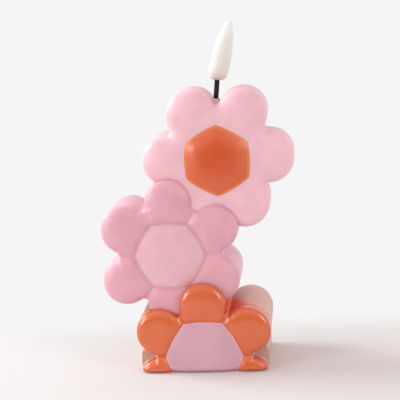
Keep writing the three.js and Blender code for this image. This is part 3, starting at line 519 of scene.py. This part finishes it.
def rgb(red, green, blue):
    """A colour given as it looks, 0 to 255, turned into light."""
    def light(v):
        v /= 255
        return v / 12.92 if v <= 0.04045 else ((v + 0.055) / 1.055) ** 2.4
    return (light(red), light(green), light(blue), 1)


def node(tree, kind, inputs=(), **settings):
    """Adds a shader node; an input is a value or another node's output."""
    made = tree.nodes.new(kind)
    for key, value in settings.items():
        setattr(made, key, value)
    for socket, value in dict(inputs).items():
        if isinstance(value, bpy.types.NodeSocket):
            tree.links.new(value, made.inputs[socket])
        else:
            made.inputs[socket].default_value = value
    return made


def new_material(name, **settings):
    """A material, its tree and its main shader; settings go on the shader's own sockets."""
    made = bpy.data.materials.new(name)
    made.use_nodes = True
    shader = made.node_tree.nodes["Principled BSDF"]
    for key, value in settings.items():
        shader.inputs[key.replace("_", " ")].default_value = value
    return made, made.node_tree, shader


def ramp(tree, value, low, high, to_low=0.0, to_high=1.0):
    """A soft step of a value between two limits."""
    step = node(tree, "ShaderNodeMapRange", interpolation_type="SMOOTHSTEP", inputs={
        "Value": value, "From Min": low, "From Max": high, "To Min": to_low, "To Max": to_high})
    return step.outputs["Result"]


def blend(tree, factor, a, b):
    """A mix of two colours, from a at 0 to b at 1."""
    mix = node(tree, "ShaderNodeMix", data_type="RGBA", inputs={0: factor, 6: a, 7: b})
    return mix.outputs[2]


def object_place(tree):
    return node(tree, "ShaderNodeTexCoord").outputs["Object"]


def mark(tree, name):
    return node(tree, "ShaderNodeAttribute", attribute_name=name).outputs["Fac"]


def grain(tree, place, scale, detail=2.0):
    settings = {"Vector": place, "Scale": scale, "Detail": detail}
    return node(tree, "ShaderNodeTexNoise", inputs=settings).outputs["Fac"]


def finish(tree, shader, color, place, roughness, clouding=0.04, ripple=0.06, dimple=0.01):
    """Gives a surface its clouded colour, uneven gloss and fine relief: a broad ripple and small dimples."""
    clouds = ramp(tree, grain(tree, place, CLOUD_SCALE, detail=3), NOISE_LOW, NOISE_HIGH,
                  1 - clouding, 1 + clouding)
    tinted = node(tree, "ShaderNodeHueSaturation", inputs={"Color": color, "Value": clouds})
    tree.links.new(tinted.outputs["Color"], shader.inputs["Base Color"])
    gloss = ramp(tree, grain(tree, place, GLOSS_SCALE), NOISE_LOW, NOISE_HIGH,
                 roughness * (1 - GLOSS_SPREAD), roughness * (1 + GLOSS_SPREAD))
    tree.links.new(gloss, shader.inputs["Roughness"])
    broad = node(tree, "ShaderNodeBump", inputs={
        "Height": grain(tree, place, RIPPLE_SCALE), "Distance": ripple * MM, "Strength": 1.0})
    fine = node(tree, "ShaderNodeBump", inputs={
        "Height": grain(tree, place, DIMPLE_SCALE, detail=4), "Distance": dimple * MM, "Strength": 1.0,
        "Normal": broad.outputs["Normal"]})
    tree.links.new(fine.outputs["Normal"], shader.inputs["Normal"])


def wax_material(name, color_of, roughness, glow=0.35, reach=(3, 1.4, 1), specular=0.5, clouding=0.04):
    """Candle wax, whose colour is made from its tree and its depth; glow is the share of light that enters
    it, and reach how far that light spreads, in millimetres."""
    made, tree, shader = new_material(
        name, Subsurface_Weight=glow, Subsurface_Radius=reach, Subsurface_Scale=MM,
        Specular_IOR_Level=specular)
    place = object_place(tree)
    depth = node(tree, "ShaderNodeSeparateXYZ", inputs={"Vector": place}).outputs["Y"]
    finish(tree, shader, color_of(tree, depth), place, roughness, clouding)
    return made


PALE = rgb(214, 170, 157)
# The second orange is painted glow: light through the wax, brighter just behind the fronts and deep in the
# creases.
BURNT, PAINTED_GLOW = rgb(218, 104, 56), rgb(246, 106, 76)
# Pink sides darker and rose sides lighter than their fronts: painted shade and painted light on one wax each.
PINK_FRONT, PINK_SIDE_SHADED = rgb(244, 197, 206), rgb(240, 193, 201)
ROSE_FRONT, ROSE_SIDE_LIT = rgb(227, 172, 184), rgb(230, 183, 192)
# The crease colour is painted shade along the crease round the rose heart.
ROSE_HEART, ROSE_CREASE_SHADE = rgb(233, 187, 196), rgb(220, 161, 171)
# The light line round the lilac heart is a painted highlight along its seam.
LILAC_FRONT, LILAC_RIM_HIGHLIGHT = rgb(213, 170, 184), rgb(244, 178, 186)
# The top heart's lighter rim is painted light through its thin edge, and its darker middle is painted shade
# of the dome.
HEART_MIDDLE_SHADED, HEART_RING, HEART_RIM_LIT = rgb(212, 86, 42), rgb(222, 102, 58), rgb(238, 132, 70)
FLAME_FOOT, FLAME_BODY = rgb(214, 199, 194), rgb(211, 208, 202)

# Depths, in metres, between which a colour turns into the next
PINK_TURN = (-14 * MM, -2 * MM)
ROSE_TURN = (-20 * MM, -8 * MM)
BURNT_TURN = (FRONT_EDGE * MM, (FRONT_EDGE + 6) * MM)
PALE_TURN = ((FRONT_EDGE - 3) * MM, (FRONT_EDGE + 6) * MM)
CASTING_TURN = ((FRONT_EDGE - 0.2) * MM, FRONT_EDGE * MM)

# Distances inside a heart's outline, in millimetres, between which they do
ROSE_HEART_TURN = (-1, 1)
CREASE_SHADE_TURN = (0.1, 1.9)
LILAC_TURN = (0.5, 1.3)
RIM_TURN = (0.2, 2)
RING_TURN = (1, 12)

FLAME_FOOT_SHARE = 0.25     # of its height, over which the flame's foot turns into its body


# Pink wax, with painted shade making its sides darker than its front.
def pink(tree, depth):
    return blend(tree, ramp(tree, depth, *PINK_TURN), PINK_FRONT, PINK_SIDE_SHADED)


def rose(tree, depth):
    """Rose wax, with painted shade along the crease around its heart, and painted light making its sides
    lighter than its front.
    """
    inside = mark(tree, "heart_distance")
    beside = node(tree, "ShaderNodeMath", operation="ABSOLUTE", inputs={0: inside}).outputs[0]
    front = blend(tree, ramp(tree, inside, *ROSE_HEART_TURN), ROSE_FRONT, ROSE_HEART)
    front = blend(tree, ramp(tree, beside, *CREASE_SHADE_TURN), ROSE_CREASE_SHADE, front)
    return blend(tree, ramp(tree, depth, *ROSE_TURN), front, ROSE_SIDE_LIT)


def stained_and_glowing(tree, depth):
    """The orange that has run back from the fronts over the pale casting; behind the fronts it turns into a
    brighter painted glow of light through the wax.
    """
    run = mark(tree, "stain_and_glow")
    behind = node(tree, "ShaderNodeMath", operation="SUBTRACT", inputs={0: depth, 1: run}).outputs[0]
    orange = blend(tree, ramp(tree, depth, *BURNT_TURN), BURNT, PAINTED_GLOW)
    return blend(tree, ramp(tree, behind, *PALE_TURN), orange, PALE)


def lilac(tree, depth):
    """The casting: lilac in the heart with a light line round it, which is a painted highlight along the
    seam, pale behind the fronts.
    """
    face = blend(tree, ramp(tree, mark(tree, "heart_distance"), *LILAC_TURN), LILAC_RIM_HIGHLIGHT, LILAC_FRONT)
    return blend(tree, ramp(tree, depth, *CASTING_TURN), face, stained_and_glowing(tree, depth))


def heart_orange(tree, depth):
    """Orange that is lighter towards the edge, where the wax is thin, and darker towards the middle: painted
    light along the rim and painted shade of the dome.
    """
    inside = mark(tree, "heart_distance")
    middle = blend(tree, ramp(tree, inside, *RING_TURN), HEART_RING, HEART_MIDDLE_SHADED)
    return blend(tree, ramp(tree, inside, *RIM_TURN), HEART_RIM_LIT, middle)


PINK = wax_material("pink_wax", pink, roughness=0.42)
ROSE = wax_material("rose_wax", rose, roughness=0.4)
LILAC = wax_material("lilac_wax", lilac, roughness=0.42, specular=0.3)
DENSE = {"glow": 0.08, "reach": (2, 0.8, 0.5), "clouding": 0.03}
ORANGE = wax_material("orange_wax", stained_and_glowing, roughness=0.22, specular=0.8, **DENSE)
HEART = wax_material("orange_heart_wax", heart_orange, roughness=0.34, specular=0.6, **DENSE)


def flame_material():
    made, tree, shader = new_material(
        "milky_flame", Subsurface_Weight=1.0, Subsurface_Radius=(20, 18, 17), Subsurface_Scale=MM,
        Specular_IOR_Level=0.1)
    place = object_place(tree)
    height = node(tree, "ShaderNodeSeparateXYZ", inputs={"Vector": place}).outputs["Z"]
    low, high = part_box("flame")
    up = ramp(tree, height, low.z, low.z + FLAME_FOOT_SHARE * (high.z - low.z))
    color = blend(tree, up, FLAME_FOOT, FLAME_BODY)
    finish(tree, shader, color, place, roughness=0.42, clouding=0.015, ripple=0.12)
    return made


def plain_material(name, color, roughness, dimple=0.02, **settings):
    """Moulded plastic, paper, metal or lacquer of one colour, with its own grain."""
    made, tree, shader = new_material(name, **settings)
    finish(tree, shader, color, object_place(tree), roughness, clouding=0.03, ripple=0.01, dimple=dimple)
    return made


MILK = flame_material()
BLACK = plain_material("black_wick", rgb(28, 22, 26), roughness=0.7, dimple=0.06, Specular_IOR_Level=0.3)
CASE = plain_material("case_plastic", rgb(238, 236, 232), roughness=0.5, dimple=0.03)
PAPER = plain_material("tube_paper", rgb(250, 234, 230), roughness=0.75, dimple=0.05)
STEEL = plain_material("steel", rgb(190, 190, 192), roughness=0.3, dimple=0.01, Metallic=1.0)
BOARD = plain_material("board_green", rgb(44, 104, 66), roughness=0.35)
CHIP = plain_material("chip_black", rgb(34, 34, 36), roughness=0.5)
JACKET = plain_material("cell_jacket", rgb(64, 68, 76), roughness=0.3)
TAN = plain_material("resistor_tan", rgb(202, 178, 140), roughness=0.45)
LENS = plain_material("led_lens", rgb(240, 226, 190), roughness=0.2, dimple=0.0, Transmission_Weight=0.5)
RED = plain_material("red_wire", rgb(180, 40, 44), roughness=0.4)
DARK = plain_material("black_wire", rgb(32, 32, 34), roughness=0.4)
NYLON = plain_material("slider_nylon", rgb(40, 40, 44), roughness=0.5, dimple=0.03)


def dress(piece, look):
    """Gives a piece one material, in place of any that it has."""
    piece.data.materials.clear()
    piece.data.materials.append(look)


wax_looks = {
    "base_flower_heart": LILAC, "middle_flower": ROSE, "top_flower_petals": PINK, "top_flower_heart": HEART,
}
for piece, replaced in wax:
    dress(piece, wax_looks.get(replaced, ORANGE))
dress(flame, MILK)

node_looks = {
    CASE: ["battery_tray", "case_cover", "battery_door"],
    STEEL: ["cover_screw_left", "cover_screw_right", "contact_bridge", "contact_negative", "contact_positive",
            "contact_spring_front", "contact_spring_rear", "timer_crystal", "board_screw_left",
            "board_screw_right", "switch_body"],
    JACKET: ["battery_cell_front", "battery_cell_rear"],
    BOARD: ["circuit_board"], CHIP: ["timer_chip"], TAN: ["resistor"], LENS: ["led"],
    RED: ["lamp_wire_positive", "battery_wire_positive"],
    DARK: ["lamp_wire_negative", "battery_wire_negative"],
    NYLON: ["switch_slider"], PAPER: ["wire_tube"], BLACK: ["wick"],
}
for look, names in node_looks.items():
    for name in names:
        dress(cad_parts[name], look)


# Camera, as the photograph was taken

CAMERA_PLACE = (59.8, -700, 212.1)
CAMERA_TARGET = (0.2, 0, 87.5)
CAMERA_ROLL = math.radians(2.55)
CAMERA_LENS, CAMERA_SENSOR = 119.9, 36
CAMERA_CLIP = (0.05, 50)     # in metres


def add_camera():
    data = bpy.data.cameras.new("camera")
    data.lens, data.sensor_width = CAMERA_LENS, CAMERA_SENSOR
    data.clip_start, data.clip_end = CAMERA_CLIP
    camera = bpy.data.objects.new("camera", data)
    bpy.context.scene.collection.objects.link(camera)
    place = Vector(CAMERA_PLACE) * MM
    forward = (Vector(CAMERA_TARGET) * MM - place).normalized()
    right = forward.cross(Vector((0, 0, 1))).normalized()
    up = right.cross(forward)
    tilted = right * math.cos(CAMERA_ROLL) - up * math.sin(CAMERA_ROLL)
    up = right * math.sin(CAMERA_ROLL) + up * math.cos(CAMERA_ROLL)
    turn = Matrix((tilted, up, -forward)).transposed().to_4x4()
    camera.matrix_world = Matrix.Translation(place) @ turn
    bpy.context.scene.camera = camera


add_camera()


# Floor, light and world, in metres

BACKDROP = rgb(246, 245, 246)
FLOOR = rgb(226, 223, 222)
FLOOR_REACH, FLOOR_FRONT = 3, -0.5     # its edges: sideways and behind, and in front
FADE_BEHIND = (0.03, 0.09)     # where the floor turns into the backdrop: behind the candle's middle
FADE_AROUND = (0.15, 0.4)      # and all round it
ROOM_BEHIND_CAMERA = (0.15, 0.14, 0.14, 1)
ROOM_AHEAD = (0.765, 0.675, 0.665, 1)
AHEAD = (0, 1, 0.8)            # the light end of the room, and how far round it the light goes
AHEAD_TURN = (-0.95, -0.3)


def add_floor():
    """A pale floor that turns into a shadowless backdrop a little way from the candle."""
    mesh = bmesh.new()
    corners = rectangle(-FLOOR_REACH, FLOOR_REACH, FLOOR_FRONT, FLOOR_REACH)
    mesh.faces.new([mesh.verts.new((x, y, -HAIRLINE * MM)) for x, y in corners])
    floor = new_object("floor", mesh)
    made, tree, shader = new_material("floor", Roughness=0.7, Specular_IOR_Level=0.2, Base_Color=FLOOR)
    place = object_place(tree)
    depth = node(tree, "ShaderNodeSeparateXYZ", inputs={"Vector": place}).outputs["Y"]
    away = node(tree, "ShaderNodeVectorMath", operation="LENGTH", inputs={0: place}).outputs["Value"]
    fade = node(tree, "ShaderNodeMath", operation="MAXIMUM", inputs={
        0: ramp(tree, depth, *FADE_BEHIND), 1: ramp(tree, away, *FADE_AROUND)}).outputs[0]
    glow = node(tree, "ShaderNodeEmission", inputs={"Color": BACKDROP, "Strength": 1.0})
    mix = node(tree, "ShaderNodeMixShader", inputs={
        "Fac": fade, 1: shader.outputs["BSDF"], 2: glow.outputs["Emission"]})
    tree.links.new(mix.outputs["Shader"], tree.nodes["Material Output"].inputs["Surface"])
    floor.data.materials.append(made)


def add_area(name, place, target, size, power, color=(1, 1, 1)):
    """A rectangular lamp that faces its target; power in watts."""
    light = bpy.data.lights.new(name, "AREA")
    light.shape = "RECTANGLE"
    light.size, light.size_y = size
    light.energy = power
    light.color = color
    lamp = bpy.data.objects.new(name, light)
    bpy.context.scene.collection.objects.link(lamp)
    lamp.location = place
    lamp.rotation_euler = (Vector(target) - Vector(place)).to_track_quat("-Z", "Y").to_euler()


def add_world():
    """A studio, dim behind the camera; the camera, glass and gloss see the backdrop's white ahead."""
    world = bpy.data.worlds.new("studio")
    bpy.context.scene.world = world
    world.use_nodes = True
    tree = world.node_tree
    direction = node(tree, "ShaderNodeTexCoord").outputs["Generated"]
    toward = node(tree, "ShaderNodeVectorMath", operation="DOT_PRODUCT", inputs={0: direction, 1: AHEAD})
    ahead = ramp(tree, toward.outputs["Value"], *AHEAD_TURN)
    rays = node(tree, "ShaderNodeLightPath").outputs
    lighting = blend(tree, ahead, ROOM_BEHIND_CAMERA, ROOM_AHEAD)
    mirrored = blend(tree, ahead, ROOM_BEHIND_CAMERA, BACKDROP)
    color = blend(tree, rays["Is Glossy Ray"], lighting, mirrored)
    color = blend(tree, rays["Is Transmission Ray"], color, BACKDROP)
    color = blend(tree, rays["Is Camera Ray"], color, BACKDROP)
    tree.links.new(color, tree.nodes["Background"].inputs["Color"])


add_floor()
add_world()
add_area("key", place=(-0.94, 0.22, 0.62), target=(0, 0, 0.06), size=(0.5, 0.4), power=8.7,
         color=(0.78, 1, 1.04))
add_area("left", place=(-0.85, -0.64, 0.33), target=(0, 0, 0.09), size=(0.34, 0.34), power=3.4)
add_area("right", place=(0.81, -0.7, 0.47), target=(0, 0, 0.1), size=(0.34, 0.45), power=2.6)
bpy.context.scene.view_settings.view_transform = "Standard"
